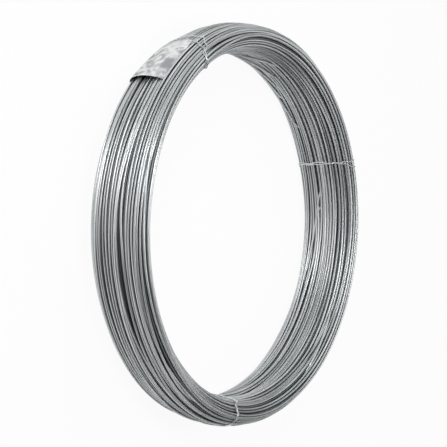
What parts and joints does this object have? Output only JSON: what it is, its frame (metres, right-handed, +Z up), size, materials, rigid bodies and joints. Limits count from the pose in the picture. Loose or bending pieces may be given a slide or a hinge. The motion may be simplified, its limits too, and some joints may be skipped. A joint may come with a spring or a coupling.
{
  "type": "coil of galvanized wire",
  "caption": "Round coil of galvanized steel wire, wound into an oval bundle, held by doubled wire ties and carrying a plain paper label on its tread.",
  "frame": {"origin": "on the floor at the coil's axis, under the end that it lies on", "axes": "+Z up along the coil's axis, from the end it lies on to the end with the twists; -Y towards the side where the label is"},
  "size_m": [0.586, 0.586, 0.1006],
  "materials": {
    "galvanized_wire": "drawn wire, hot-dip zinc coated, dull satin",
    "tie_wire": "soft zinc-coated tying wire, satin",
    "label_paper": "white coated paper, slightly creased"
  },
  "bodies": {
    "root": {"wire_coil": "galvanized_wire", "tie_wire_1": "tie_wire", "tie_wire_2": "tie_wire", "tie_wire_3": "tie_wire", "label": "label_paper"}
  },
  "joints": []
}
